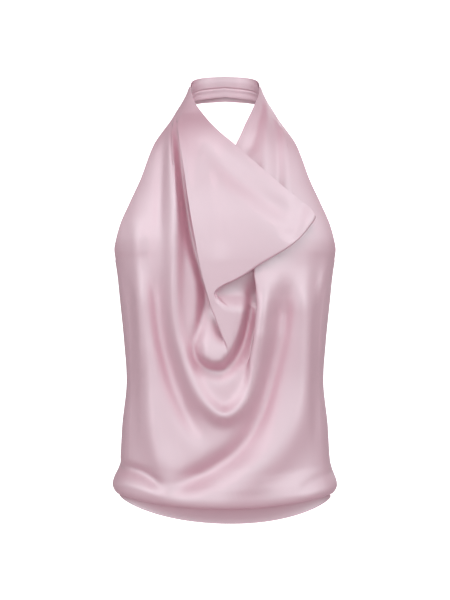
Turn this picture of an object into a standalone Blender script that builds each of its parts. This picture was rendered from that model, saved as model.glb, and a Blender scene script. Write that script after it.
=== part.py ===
# Backless halter top with a draped cowl, standing filled out as when worn.
# Metres, +Z up. The origin is the nape: inner face of the neckband, centre back.
# The front of the garment faces -Y. Tables are in millimetres, depths from the torso centre.

import bpy
import numpy as np

MM = 0.001
WALL = 1.4
SEAM_GAP = 0.3
TORSO_CENTRE_DEPTH = -70.0
FRONT_FLATNESS = 0.9
RETURN_LEVEL = 0.6
TURN_STEPS = 12
LONGEST_FLAT = 9.0
HEM_DIP = 15.0
HEM_DIP_START = 480.0
HEM_DIP_END = 608.0

# Sections of the body and straps, by distance run down the cloth.
# run, height, half_width, side_depth, front_depth, seam_x
SECTIONS = np.array([
    (5, -5, 54.0, 6.0, -37, 53.8),
    (16, -16, 58.3, 7.4, -42, 58.2),
    (30, -30, 66.0, 8.0, -50, 65.3),
    (38, -38, 71.5, 7.0, -55, 70.0),
    (57, -57, 85.5, 5.0, -68, 80.5),
    (73, -73, 100.0, 4.0, -78, 91.5),
    (93, -93, 117.5, 6.0, -88, 104.5),
    (110, -110, 127.0, 6.0, -95, 111.5),
    (144, -144, 141.0, 6.5, -106, 123.5),
    (180, -180, 157.0, 6.5, -114.2, 140.0),
    (214, -214, 170.0, 5.0, -117.8, 155.0),
    (233, -233, 172.0, 2.5, -118.6, 160.5),
    (250, -250, 169.0, 0.5, -118.8, 164.0),
    (262, -262, 165.0, -1.0, -118.5, 163.0),
    (290, -290, 160.5, -2.5, -117.2, 153.0),
    (324, -324, 157.0, -3.0, -115.0, 144.0),
    (384, -384, 151.0, -3.0, -111.0, 139.0),
    (444, -444, 147.0, -2.5, -109.0, 138.0),
    (510, -510, 153.5, -2.0, -109.6, 139.0),
    (564, -564, 157.0, -2.0, -112.5, 140.0),
    (575, -575, 160.5, -2.0, -115, 141.0),
    (588, -588, 165.5, -2.0, -119, 143.0),
    (600, -600, 167.5, -2.0, -121, 144.0),
    (608, -607.5, 165.0, -2.0, -119.5, 142.0),
    (613, -611, 161.0, -2.0, -116, 139.0),
    (618, -609, 157.5, -2.0, -112.5, 136.0),
    (626, -601, 156.0, -2.0, -111, 135.0),
])

# Neck edge of each strap. run, left_x, right_x
NECK_EDGES = np.array([
    (5, -52.0, 52.0),
    (16, -49.8, 50.6),
    (33, -43.6, 44.5),
    (47, -34.6, 38.5),
    (65, -21.3, 30.0),
    (83, -3.7, 22.5),
    (99, 15.3, 15.3),
    (119, 37.0, 11.0),
    (138, 59.0, 9.0),
    (157, 81.0, 8.0),
    (170, 97.0, 8.5),
    (180, 110.0, 9.5),
    (189, 122.0, 11.0),
    (202, 132.0, 13.0),
])
COWL_TIP_RUN = 202.0

# Where each large fold runs, as seen from the front.
# run, left_pleat, roll_edge, flap_fold, hidden_fold, knife_fold, right_pleat
FOLD_LINES = np.array([
    (52, -77.0, -72.0, 40.0, 20.0, 45.0, 76.6),
    (73, -78.2, -69.3, 60.0, 20.0, 45.0, 86.8),
    (100, -77.5, -65.2, 80.0, 14.0, 40.0, 92.8),
    (134, -75.1, -59.8, 110.0, 12.0, 34.0, 96.6),
    (164, -73.3, -55.8, 120.0, 12.0, 31.0, 98.8),
    (202, -72.3, -50.0, 132.0, 13.0, 31.0, 105.8),
    (219, -72.6, -47.0, 121.8, 13.2, 31.5, 110.0),
    (233, -72.9, -44.3, 109.7, 12.0, 32.0, 113.5),
    (249, -73.6, -41.4, 90.4, 10.2, 33.8, 115.5),
    (262, -74.6, -39.0, 68.4, 7.0, 36.3, 116.9),
    (275, -75.4, -36.3, 46.7, 2.5, 39.0, 117.2),
    (287, -75.7, -33.6, 29.4, -2.5, 41.3, 117.6),
    (295, -75.7, -31.6, 15.1, -7.0, 42.5, 118.0),
    (302, -75.7, -29.8, -0.7, -10.2, 43.4, 118.3),
    (308, -75.7, -28.4, -10.8, -13.0, 43.8, 118.5),
    (315, -75.7, -26.4, -14.6, -13.4, 44.2, 118.6),
    (325, -75.6, -23.8, -11.0, -7.0, 44.5, 118.7),
    (334, -75.0, -21.2, -3.0, 2.5, 44.4, 118.7),
    (342, -74.4, -18.0, 4.0, 9.0, 44.2, 118.8),
    (356, -72.6, -12.6, 7.0, 12.5, 43.7, 118.9),
    (381, -68.4, -2.2, 9.0, 15.0, 41.7, 119.0),
    (398, -63.5, 3.6, 11.0, 16.0, 39.0, 118.6),
    (417, -60.0, 2.2, 11.0, 17.0, 34.0, 118.0),
    (440, -57.0, -8.0, 12.0, 24.0, 33.0, 115.0),
    (480, -60.0, -24.0, 2.0, 28.0, 44.0, 110.0),
    (550, -62.0, -30.0, -4.0, 26.0, 50.0, 102.0),
    (626, -62.0, -30.0, -4.0, 26.0, 50.0, 98.0),
])

# How far each folded layer stands off the body section.
# run, left_pleat, flap, knife_fold, right_pleat, tuck_under_flap
LAYER_HEIGHTS = np.array([
    (5, 0, 0, 0, 0, 0),
    (56, 0, 0, 0, 0, 0),
    (68, 3, 6, 0, 3, 0),
    (80, 5, 11, 0, 5, 0),
    (95, 5.8, 13, 0, 6, 0),
    (140, 5.8, 16, 0, 6, 0),
    (180, 4.5, 18, 0, 5, 0),
    (205, 2.5, 19, 0, 2.5, 0),
    (225, 1.2, 19, 0, 0, 0),
    (245, 0.3, 19, 1, 0, 0),
    (262, 0, 19, 3, 0, 0),
    (275, 0, 18.5, 6, 0, 0),
    (288, 0, 18, 9, 0, 0),
    (300, 0, 17.5, 11, 0, 0),
    (315, 0, 17, 12, 0, 3),
    (325, 0, 16.5, 13, 0, 9),
    (334, 0, 16, 13, 0, 14),
    (342, 0, 16, 13, 0, 16),
    (372, 0, 16, 13, 0, 16),
    (388, 0, 16, 11, 0, 16),
    (402, 0, 16, 7, 0, 16),
    (416, 0, 16, 2, 0, 16),
    (426, 0, 16, 0, 0, 16),
    (440, 0, 14, 0, 0, 14),
    (455, 0, 0, 0, 0, 0),
    (626, 0, 0, 0, 0, 0),
])

# Where the cloth of the hanging nose of the cowl is half fallen back to the body. x, height
NOSE = np.array([
    (-60, -383),
    (-46, -395),
    (-34, -408),
    (-22, -419),
    (-8, -426),
    (4, -426),
    (12, -422),
    (20, -414),
    (28, -404),
    (36, -394),
    (60, -380),
])
NOSE_FALL = 26.0

# The cloth left of the roll swells into a pouch between these runs.
POUCH_START = 332.0
POUCH_END = 412.0

# How long the cloth stays high under the flap before it drops to the knife fold.
FLAP_ROUNDNESS = 2.4
NOSE_ROUNDNESS = 1.3
NOSE_START = 350.0
NOSE_END = 400.0

# How far each fold laps over the layer below it.
# run, left_pleat, roll_edge, knife_fold, right_pleat
FOLD_LAPS = np.array([
    (5, 0, 0, 0, 0),
    (70, 0, 0, 0, 0),
    (84, 2.5, 3.5, 0, 2),
    (97, 4, 6, 0, 4.5),
    (140, 4.5, 10, 0, 5.5),
    (168, 3.5, 12, 0, 4.5),
    (184, 1.5, 12, 0, 2),
    (196, 0, 13, 0, 0),
    (245, 0, 13, 0, 0),
    (277, 0, 12, 0, 0),
    (290, 0, 9, 4, 0),
    (302, 0, 6, 8, 0),
    (315, 0, 2, 9, 0),
    (330, 0, 3, 10, 0),
    (350, 0, 6, 10, 0),
    (366, 0, 5, 10, 0),
    (378, 0, 2, 8, 0),
    (387, 0, 0, 5, 0),
    (402, 0, 0, 0, 0),
    (626, 0, 0, 0, 0),
])

# Soft ridges and troughs: name, height, width left of the line, width right of it, line as (x, height).
SOFT_FOLDS = (
    ("ridge_round_the_cowl", 13.0, 15.0, 13.0, (
        (-75, -100), (-74, -150), (-73, -200), (-74, -281), (-73, -338), (-67, -382), (-55, -422),
        (-40, -456), (-22, -479), (-3, -490), (15, -484), (31, -464), (42, -432), (49, -396),
        (54, -350), (57, -315), (58, -280))),
    ("ridge_to_the_right_hip", 12.0, 24.0, 26.0, (
        (112, -270), (118, -310), (121, -350), (121, -404), (118, -448), (109, -487), (92, -523),
        (70, -551), (44, -572), (15, -588), (-18, -597))),
    ("ridge_to_the_left_hip", 9.0, 20.0, 22.0, (
        (-112, -260), (-113, -320), (-112, -380), (-108, -440), (-98, -500), (-80, -540), (-52, -570))),
    ("trough_right_of_the_roll", -11.0, 17.0, 17.0, (
        (90, -280), (84, -331), (79, -375), (70, -418), (61, -457), (51, -490),
        (34, -523), (14, -547), (-9, -566), (-35, -579))),
    ("trough_left_of_the_roll", -8.0, 13.0, 13.0, (
        (-104, -260), (-100, -320), (-94, -370), (-84, -410), (-73, -446), (-60, -480),
        (-44, -512), (-21, -540))),
    ("hollow_under_the_nose", -6.0, 11.0, 11.0, (
        (38, -372), (35, -398), (26, -420), (11, -434), (-6, -432), (-24, -420), (-38, -402))),
    ("hollow_above_the_left_hem", -6.0, 10.0, 10.0, (
        (-158, -574), (-139, -573), (-119, -577), (-101, -587), (-86, -597))),
)
FOLD_FADE = 0.22
LINE_STEPS = 5

# Columns of the front between its fold lines.
COLUMNS = {"side": 6, "pleat": 3, "panel": 7, "turn": 5, "flap": 6, "return": 9,
           "tuck": 4, "right_panel": 11, "right_side": 3}
FRONT_RUNS = (
    5, 16, 27, 38, 50, 62, 74, 86, 99, 113, 128, 144, 160, 176, 190, 202, 219, 235, 249, 262,
    274, 286, 298, 308, 318, 330, 344, 360, 376, 390, 402, 414, 426, 438, 450, 463, 476, 490, 505, 521,
    540, 558, 572, 585, 597, 606, 613, 619, 626)

# Back panel: its depth below the torso centre line, and its top edge.
# run, back_depth
BACK_DEPTHS = np.array([
    (250, 84), (262, 84), (324, 81), (384, 79), (444, 80), (510, 86), (564, 91), (575, 95),
    (588, 100), (600, 102), (608, 100.5), (613, 97), (618, 93.5), (626, 92),
])
UNDERARM_RUN = 262.0
BACK_SCOOP = 172.0
BACK_COLUMNS = 24

# Hem band.
HEM_BAND_TOP = -597.0
HEM_BAND_SIDE_BOTTOM = -612.5
HEM_BAND_DIP = 34.0
HEM_BAND_HALF_WIDTH = 153.6
HEM_BAND_FRONT = -108.7
HEM_BAND_BACK = 89.6
HEM_BAND_FLARE = 0.8
HEM_BAND_COLUMNS = 48

# Neckband: ring round the back of the neck, leaning outward at its lower edge.
# turn (0 at the side of the neck, 1 at centre back), top, bottom, facing_bottom
NECKBAND = np.array([
    (0.0, -5, -38, -31),
    (0.12, 0, -37, -29),
    (0.26, 6.5, -32, -25),
    (0.34, 11, -29, -23),
    (0.5, 14.8, -25.5, -19.5),
    (0.71, 17.2, -22, -16),
    (1.0, 19, -19.5, -12.5),
])
NECKBAND_BACK = 70.6
NECKBAND_LEAN = 0.12
NECKBAND_COLUMNS = 28
FACING_EASE = 0.5


def smooth_at(table, column, at):
    # Monotone cubic reading of one column of a table.
    xs = table[:, 0]
    ys = table[:, column]
    step = np.diff(xs)
    slope = np.diff(ys) / step
    inner = np.zeros(len(xs) - 2)
    same = slope[:-1] * slope[1:] > 0
    inner[same] = 2 * slope[:-1][same] * slope[1:][same] / (slope[:-1][same] + slope[1:][same])
    tangents = np.concatenate(([slope[0]], inner, [slope[-1]]))
    at = float(np.clip(at, xs[0], xs[-1]))
    i = int(np.clip(np.searchsorted(xs, at) - 1, 0, len(xs) - 2))
    t = (at - xs[i]) / step[i]
    return float((2 * t**3 - 3 * t**2 + 1) * ys[i] + (t**3 - 2 * t**2 + t) * step[i] * tangents[i]
                 + (3 * t**2 - 2 * t**3) * ys[i + 1] + (t**3 - t**2) * step[i] * tangents[i + 1])


def ease(value, start, end):
    t = min(1.0, max(0.0, (value - start) / (end - start)))
    return t * t * (3 - 2 * t)


def section_at(run):
    return [smooth_at(SECTIONS, column, run) for column in range(1, 6)]


def normal_at(half_width, side, front, angle):
    cos = max(1e-4, np.cos(angle))
    across = half_width * cos
    along = (side - front) * FRONT_FLATNESS * cos ** (FRONT_FLATNESS - 1) * np.sin(angle)
    size = np.hypot(across, along)
    return along / size, -across / size


def smooth_line(points):
    # A smooth curve through the points of a fold line.
    p = np.array(points, float)
    p = np.vstack((2 * p[0] - p[1], p, 2 * p[-1] - p[-2]))
    out = []
    for a, b, c, d in zip(p, p[1:], p[2:], p[3:]):
        for step in range(LINE_STEPS):
            t = step / LINE_STEPS
            out.append(0.5 * (2 * b + (c - a) * t + (2 * a - 5 * b + 4 * c - d) * t * t
                              + (3 * b - a - 3 * c + d) * t**3))
    out.append(p[-2])
    return np.array(out)


def line_distance(x, z, line):
    # Nearest distance to a fold line, the side of it, and how far along the line that is.
    steps = np.diff(line, axis=0)
    lengths = np.hypot(steps[:, 0], steps[:, 1])
    t = ((x - line[:-1, 0]) * steps[:, 0] + (z - line[:-1, 1]) * steps[:, 1]) / lengths**2
    t = np.clip(t, 0.0, 1.0)
    across = x - line[:-1, 0] - t * steps[:, 0]
    down = z - line[:-1, 1] - t * steps[:, 1]
    away = np.hypot(across, down)
    i = int(np.argmin(away))
    gone = lengths[:i].sum() + t[i] * lengths[i]
    side = steps[i, 0] * down[i] - steps[i, 1] * across[i]
    return away[i], side, gone / lengths.sum()


FOLD_CURVES = [(height, left, right, smooth_line(line)) for name, height, left, right, line in SOFT_FOLDS]


def soft_relief(x, z):
    relief = 0.0
    for height, left_width, right_width, curve in FOLD_CURVES:
        away, side, along = line_distance(x, z, curve)
        width = right_width if side > 0 else left_width
        fade = ease(along, 0.0, FOLD_FADE) * ease(1 - along, 0.0, FOLD_FADE)
        relief += height * fade * np.exp(-(away / width) ** 2)
    return relief


def front_point(run, x, off):
    # A point of the cloth, off the body section, that is seen from the front at x.
    height, half_width, side, front, seam_x = section_at(run)
    angle = np.arcsin(np.clip(x / half_width, -0.999, 0.999))
    z = height - HEM_DIP * ease(run, HEM_DIP_START, HEM_DIP_END) * np.cos(angle) ** 2
    calm = ease(626 - run, 10, 45) * ease(seam_x - abs(x), 0, 16)
    off = off + soft_relief(x, z) * calm
    for turn in range(6):
        nx, ny = normal_at(half_width, side, front, angle)
        angle = np.arcsin(np.clip((x - off * nx) / half_width, -0.999, 0.999))
    nx, ny = normal_at(half_width, side, front, angle)
    y = side + (front - side) * np.cos(angle) ** FRONT_FLATNESS
    return (half_width * np.sin(angle) + off * nx, y + off * ny, z)


def angle_at(x, half_width):
    return np.arcsin(np.clip(x / half_width, -0.999, 0.999))


def between(a, b, part, half_width):
    # A place part of the way across a strap, evenly round the section.
    p = angle_at(a, half_width)
    q = angle_at(b, half_width)
    return half_width * np.sin(p + (q - p) * part)


def spread(start, end, count, half_width, shape):
    # Points between two fold lines, evenly round the section; shape gives the rise from 0 to 1.
    out = []
    for i in range(1, count + 1):
        t = i / count
        x = end[0] if i == count else between(start[0], end[0], t, half_width)
        out.append((x, start[1] + (end[1] - start[1]) * shape(t)))
    return out


def even_rise(t):
    return ease(t, 0, 1)


def pouch_rise(t):
    return ease(t, 0.2, 0.62)


def s_turn(start, end, count):
    # The cloth turns back on itself and on again, between two layers; with no lap it is a plain step.
    reach = 2.0 + 0.55 * abs(end[1] - start[1])
    out = []
    for i in range(1, count + 1):
        t = i / count
        if end[0] < start[0]:
            w = ((1 - t)**3, 3 * t * (1 - t)**2, 3 * t * t * (1 - t), t**3)
            x = w[0] * start[0] + w[1] * (start[0] + reach) + w[2] * (end[0] - reach) + w[3] * end[0]
            off = (w[0] + w[1]) * start[1] + (w[2] + w[3]) * end[1]
        else:
            x = start[0] + (end[0] - start[0]) * t
            off = start[1] + (end[1] - start[1]) * ease(t, 0, 1)
        out.append((x, off))
    return out


def lapped(line_x, lap, low, high, rising):
    # Two ends of a fold whose visible edge is at line_x. Rising: the right layer is on top.
    reach = 0.3 * (2.0 + 0.55 * abs(high - low)) * ease(lap, 0, 3)
    soft = 2.0 * (1 - ease(lap, 0, 3))
    if rising:
        return (line_x + lap - soft, low), (line_x + reach + soft, high)
    return (line_x - reach - soft, high), (line_x - lap + soft, low)


def flat_step(a, b, line_x, first, second, half_width):
    # Where a fold has run out, its two ends lie side by side.
    p = angle_at(a, half_width)
    q = angle_at(b, half_width)
    part = (angle_at(line_x, half_width) - p) / (q - p)
    return (between(a, b, part - 0.03, half_width), first), (between(a, b, part + 0.03, half_width), second)


def flap_turn(flap_x, hidden_x, height, tuck):
    # The flap doubles back at flap_x, returns beneath itself, and turns on again at hidden_x.
    middle = tuck + (height - tuck) * RETURN_LEVEL
    lap = flap_x - hidden_x
    tight = min((height - tuck) * 0.2, max(0.0, lap * 0.3))
    apart = max(0.0, -lap)
    give = 1.5 * ease(-lap, -6, 2) + 5.0 * ease(apart, 0, 8)
    over = []
    under = []
    for i in range(TURN_STEPS + 1):
        t = i / TURN_STEPS
        swing = (1 - np.cos(np.pi * t)) / 2
        bulge = tight * np.sin(np.pi * t)
        moved = (give + apart / 2) * t
        over.append((flap_x - tight - give + moved + bulge, height + (middle - height) * swing))
        under.append((hidden_x + tight - apart / 2 + moved - bulge, middle + (tuck - middle) * swing))
    return over + under


def even_steps(places, count):
    # Evenly spaced points along a turn, with a long flat return shortened in the counting.
    gone = [0.0]
    for a, b in zip(places, places[1:]):
        gone.append(gone[-1] + min(LONGEST_FLAT, np.hypot(b[0] - a[0], b[1] - a[1])))
    xs = [place[0] for place in places]
    offs = [place[1] for place in places]
    out = []
    for i in range(1, count + 1):
        at = gone[-1] * i / count
        out.append((float(np.interp(at, gone, xs)), float(np.interp(at, gone, offs))))
    return out


def cloth_row(run):
    # One level of the front: left side, left pleat, roll, flap, return, right side.
    height, half_width, side, front, seam_x = section_at(run)
    lines = [smooth_at(FOLD_LINES, column, run) for column in range(1, 7)]
    heights = [smooth_at(LAYER_HEIGHTS, column, run) for column in range(1, 6)]
    laps = [smooth_at(FOLD_LAPS, column, run) for column in range(1, 5)]
    above_tip = run < COWL_TIP_RUN
    edge = seam_x - SEAM_GAP / 2
    neck_left = smooth_at(NECK_EDGES, 1, run) if above_tip else lines[2]
    neck_right = smooth_at(NECK_EDGES, 2, run) if above_tip else lines[3]
    settled = ease(run, 50, 80)
    left = between(-edge, neck_left, 0.3, half_width) * (1 - settled) + max(lines[0], -edge + 4) * settled
    roll = between(-edge, neck_left, 0.55, half_width) * (1 - settled) + lines[1] * settled
    knife = between(neck_right, edge, 0.35, half_width) * (1 - settled) + lines[4] * settled
    right = between(neck_right, edge, 0.68, half_width) * (1 - settled) + min(lines[5], edge - 4) * settled
    if settled < 1:
        left_low, left_high = flat_step(-edge, neck_left, left, 0.0, heights[0], half_width)
        roll_low, roll_high = flat_step(-edge, neck_left, roll, heights[0], heights[1], half_width)
        knife_low, knife_high = flat_step(neck_right, edge, knife, 0.0, heights[2], half_width)
        right_high, right_low = flat_step(neck_right, edge, right, heights[3], 0.0, half_width)
    else:
        pouch_top = heights[0] + (heights[1] - heights[0]) * ease(run, POUCH_START, POUCH_END)
        left_low, left_high = lapped(left, laps[0], 0.0, heights[0], True)
        roll_low, roll_high = lapped(roll, laps[1], pouch_top, heights[1], True)
        knife_low, knife_high = lapped(knife, laps[2], 0.0, heights[2], True)
        right_high, right_low = lapped(right, laps[3], 0.0, heights[3], False)

    n = COLUMNS
    row = [(-edge, 0.0)]
    row += spread(row[-1], left_low, n["side"], half_width, even_rise)
    row += s_turn(left_low, left_high, n["pleat"])
    cowl = spread(row[-1], roll_low, n["panel"], half_width, pouch_rise)
    cowl += s_turn(roll_low, roll_high, n["turn"])
    if above_tip:
        cowl += spread(cowl[-1], (neck_left, heights[1]), n["flap"], half_width, even_rise)
        cowl += [None] * (n["return"] - 1)
        cowl += [(neck_right, 0.0)]
    else:
        folded = flap_turn(lines[2], lines[3], heights[1], heights[4])
        cowl += spread(cowl[-1], folded[0], n["flap"], half_width, even_rise)
        cowl += even_steps(folded, n["return"])
    roundness = FLAP_ROUNDNESS + (NOSE_ROUNDNESS - FLAP_ROUNDNESS) * ease(run, NOSE_START, NOSE_END)
    cowl += spread(cowl[-1], knife_low, n["tuck"], half_width, lambda t: t**roundness)
    row += [place and (place[0], place[1] * (1 - fallen(place[0], height))) for place in cowl]
    row += s_turn(knife_low, knife_high, n["turn"])
    row += spread(row[-1], right_high, n["right_panel"], half_width, even_rise)
    row += s_turn(right_high, right_low, n["pleat"])
    row += spread(row[-1], (edge, 0.0), n["right_side"], half_width, even_rise)
    return row


def fallen(x, z):
    # How far the cloth of the cowl has fallen back to the body, from 0 to 1.
    return ease(smooth_at(NOSE, 1, x) - z, -NOSE_FALL / 2, NOSE_FALL / 2)


def make_solid(name, grid, closed, colour):
    # Gives a grid of mid-cloth points a wall, closed all round.
    index = {}
    points = []
    for r, row in enumerate(grid):
        for c, point in enumerate(row):
            if point is not None:
                index[(r, c)] = len(points)
                points.append(point)
    quads = []
    columns = len(grid[0])
    for r in range(len(grid) - 1):
        for c in range(columns if closed else columns - 1):
            d = (c + 1) % columns
            keys = ((r, c), (r + 1, c), (r + 1, d), (r, d))
            if all(key in index for key in keys):
                quads.append([index[key] for key in keys])
    points = np.array(points)
    normals = np.zeros_like(points)
    for quad in quads:
        a, b, c, d = (points[i] for i in quad)
        face = np.cross(c - a, d - b)
        size = np.linalg.norm(face)
        if size > 1e-9:
            face = face / size
        for i in quad:
            normals[i] += face
    normals /= np.maximum(1e-9, np.linalg.norm(normals, axis=1))[:, None]
    outer = points + normals * WALL / 2
    inner = points - normals * WALL / 2
    count = len(points)
    faces = [tuple(quad) for quad in quads]
    faces += [tuple(i + count for i in reversed(quad)) for quad in quads]
    seen = {}
    for quad in quads:
        for i, j in zip(quad, quad[1:] + quad[:1]):
            seen[(i, j)] = True
    for i, j in seen:
        if (j, i) not in seen:
            faces.append((j, i, i + count, j + count))
    mesh = bpy.data.meshes.new(name)
    mesh.from_pydata((np.concatenate((outer, inner)) * MM).tolist(), [], faces)
    mesh.update()
    for polygon in mesh.polygons:
        polygon.use_smooth = True
    thing = bpy.data.objects.new(name, mesh)
    bpy.context.scene.collection.objects.link(thing)
    thing.location = (0.0, TORSO_CENTRE_DEPTH * MM, 0.0)
    material = bpy.data.materials.new(name + "_satin")
    material.use_nodes = True
    shader = material.node_tree.nodes["Principled BSDF"]
    shader.inputs["Base Color"].default_value = colour
    shader.inputs["Roughness"].default_value = 0.42
    shader.inputs["Metallic"].default_value = 0.0
    mesh.materials.append(material)
    return thing


def front_grid():
    grid = []
    for run in FRONT_RUNS:
        row = cloth_row(run)
        grid.append([None if place is None else front_point(run, place[0], place[1]) for place in row])
    return grid


def back_grid():
    # Low back panel, from the right side seam round the back to the left one.
    runs = [UNDERARM_RUN] + [run for run in FRONT_RUNS if run > UNDERARM_RUN]
    grid = []
    for run in runs:
        row = []
        for c in range(BACK_COLUMNS + 1):
            part = c / BACK_COLUMNS
            round_back = abs(2 * part - 1)
            scoop = BACK_SCOOP * (1 + np.cos(np.pi * round_back ** 1.25)) / 2
            left = 1 - ease(run, UNDERARM_RUN, 560)
            here = run + scoop * left
            if run >= 560:
                here = run
            height, half_width, side, front, seam_x = section_at(here)
            back = smooth_at(BACK_DEPTHS, 1, here)
            start = np.arcsin((seam_x + SEAM_GAP / 2) / half_width)
            angle = start + (2 * np.pi - 2 * start) * part
            x = half_width * np.sin(angle)
            if np.cos(angle) > 0:
                y = side + (front - side) * np.cos(angle) ** FRONT_FLATNESS
            else:
                y = side + (back - side) * (-np.cos(angle)) ** FRONT_FLATNESS
            dip = HEM_DIP * ease(here, HEM_DIP_START, HEM_DIP_END)
            z = height - dip * np.cos(angle) ** 2
            row.append((x, y, z))
        grid.append(row)
    return grid


def hem_band_grid():
    grid = []
    for level in (0.0, 0.5, 1.0):
        row = []
        for c in range(HEM_BAND_COLUMNS):
            angle = 2 * np.pi * c / HEM_BAND_COLUMNS
            depth = HEM_BAND_FRONT if np.cos(angle) > 0 else HEM_BAND_BACK
            flare = HEM_BAND_FLARE * level
            x = (HEM_BAND_HALF_WIDTH + flare) * np.sin(angle)
            y = -2.0 + (depth + 2.0 + np.sign(depth) * flare) * abs(np.cos(angle)) ** FRONT_FLATNESS
            bottom = HEM_BAND_SIDE_BOTTOM - HEM_BAND_DIP * abs(np.cos(angle))
            top = HEM_BAND_TOP - HEM_DIP * np.cos(angle) ** 2
            row.append((x, y, top + (bottom - top) * level))
        grid.append(row)
    return grid


def neckband_point(part, z, trim):
    # A point of the band's outer layer; part runs from one strap seam round to the other.
    turn = 1 - abs(2 * part - 1)
    half_width, side, front, seam_x = section_at(max(5.0, -z))[1:]
    start = np.arcsin(min(0.999, seam_x / half_width)) + trim / half_width
    lean = ease(turn, 0.0, 0.5)
    half_width = half_width * (1 - lean) + (54.0 + NECKBAND_LEAN * (19 - z)) * lean
    back = NECKBAND_BACK + NECKBAND_LEAN * (19 - z)
    angle = start + (2 * np.pi - 2 * start) * part
    if np.cos(angle) > 0:
        y = side + (front - side) * np.cos(angle) ** FRONT_FLATNESS
    else:
        y = side + (back - side) * (-np.cos(angle)) ** FRONT_FLATNESS
    return np.array((half_width * np.sin(angle), y, z))


def neckband_grid(inset, bottom_column, trim, levels):
    # Strip round the back of the neck; it starts at the outer edge of each strap.
    grid = []
    for level in range(levels + 1):
        row = []
        for c in range(NECKBAND_COLUMNS + 1):
            part = c / NECKBAND_COLUMNS
            turn = 1 - abs(2 * part - 1)
            top = smooth_at(NECKBAND, 1, turn)
            bottom = smooth_at(NECKBAND, bottom_column, turn)
            z = top + (bottom - top) * level / levels
            point = neckband_point(part, z, trim)
            ahead = neckband_point(min(1.0, part + 0.01), z, trim)
            behind = neckband_point(max(0.0, part - 0.01), z, trim)
            along = (ahead - behind) / np.linalg.norm(ahead - behind)
            inward = np.array((-along[1], along[0], 0.0))
            row.append(tuple(point + inward * inset))
        grid.append(row)
    return grid


for old in list(bpy.data.objects):
    bpy.data.objects.remove(old, do_unlink=True)

SATIN = (0.76, 0.52, 0.57, 1.0)
SATIN_INSIDE = (0.66, 0.42, 0.48, 1.0)
make_solid("front", front_grid(), False, SATIN)
make_solid("back", back_grid(), False, SATIN)
make_solid("hem_band", hem_band_grid(), True, SATIN)
make_solid("neckband", neckband_grid(0.0, 2, SEAM_GAP, 4), False, SATIN)
make_solid("neckband_facing", neckband_grid(WALL + SEAM_GAP + FACING_EASE, 3, 3.0, 3), False, SATIN_INSIDE)
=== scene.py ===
# Backless halter top in pink satin, with a cowl folded across the front.
import math
import bpy
import numpy as np
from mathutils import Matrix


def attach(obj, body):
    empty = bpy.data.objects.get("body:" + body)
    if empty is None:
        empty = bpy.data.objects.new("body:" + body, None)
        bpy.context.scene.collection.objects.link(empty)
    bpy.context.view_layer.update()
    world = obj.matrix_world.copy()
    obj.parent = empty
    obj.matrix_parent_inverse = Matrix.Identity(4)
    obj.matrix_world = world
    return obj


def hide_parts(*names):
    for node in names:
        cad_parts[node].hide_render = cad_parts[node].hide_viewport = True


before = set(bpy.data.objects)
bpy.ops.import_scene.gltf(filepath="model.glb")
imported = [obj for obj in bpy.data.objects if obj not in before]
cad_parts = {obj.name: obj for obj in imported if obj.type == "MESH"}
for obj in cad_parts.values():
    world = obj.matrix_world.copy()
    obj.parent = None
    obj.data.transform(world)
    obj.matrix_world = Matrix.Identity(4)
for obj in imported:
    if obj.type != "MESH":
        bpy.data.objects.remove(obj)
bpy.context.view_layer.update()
print("frame loaded")

mm = 0.001
torsoDepth = -70.0                  # the torso centre, in mm; the nape is at 0, behind it
crispFrom = math.radians(55)        # cloth bent more sharply than this keeps a crisp edge
wholeTurn = 2 * np.pi
almostOne = 0.999                   # keeps a sine off the very edge of the body
tiny = 1e-9


# Table reading and small helpers

def readTable(table, column, at):
    # smooth reading of one column of a table, with no overshoot
    xs, ys = table[:, 0], table[:, column]
    step = np.diff(xs)
    slope = np.diff(ys) / step
    inner = np.zeros(len(xs) - 2)
    same = slope[:-1] * slope[1:] > 0
    inner[same] = 2 * slope[:-1][same] * slope[1:][same] / (slope[:-1][same] + slope[1:][same])
    tangent = np.concatenate(([slope[0]], inner, [slope[-1]]))
    at = np.clip(np.asarray(at, float), xs[0], xs[-1])
    i = np.clip(np.searchsorted(xs, at) - 1, 0, len(xs) - 2)
    t = (at - xs[i]) / step[i]
    return ((2 * t**3 - 3 * t**2 + 1) * ys[i] + (t**3 - 2 * t**2 + t) * step[i] * tangent[i]
            + (3 * t**2 - 2 * t**3) * ys[i + 1] + (t**3 - t**2) * step[i] * tangent[i + 1])


def ease(value, start, end):
    t = np.clip((np.asarray(value, float) - start) / (end - start), 0.0, 1.0)
    return t * t * (3 - 2 * t)


def smoothLine(points, per=6):
    # a smooth curve through the points of a fold line
    p = np.array(points, float)
    p = np.vstack((2 * p[0] - p[1], p, 2 * p[-1] - p[-2]))
    out = []
    for i in range(1, len(p) - 2):
        for k in range(per):
            t = k / per
            out.append(0.5 * (2 * p[i] + (p[i + 1] - p[i - 1]) * t
                              + (2 * p[i - 1] - 5 * p[i] + 4 * p[i + 1] - p[i + 2]) * t * t
                              + (3 * p[i] - p[i - 1] - 3 * p[i + 1] + p[i + 2]) * t**3))
    out.append(p[-2])
    return np.array(out)


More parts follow.
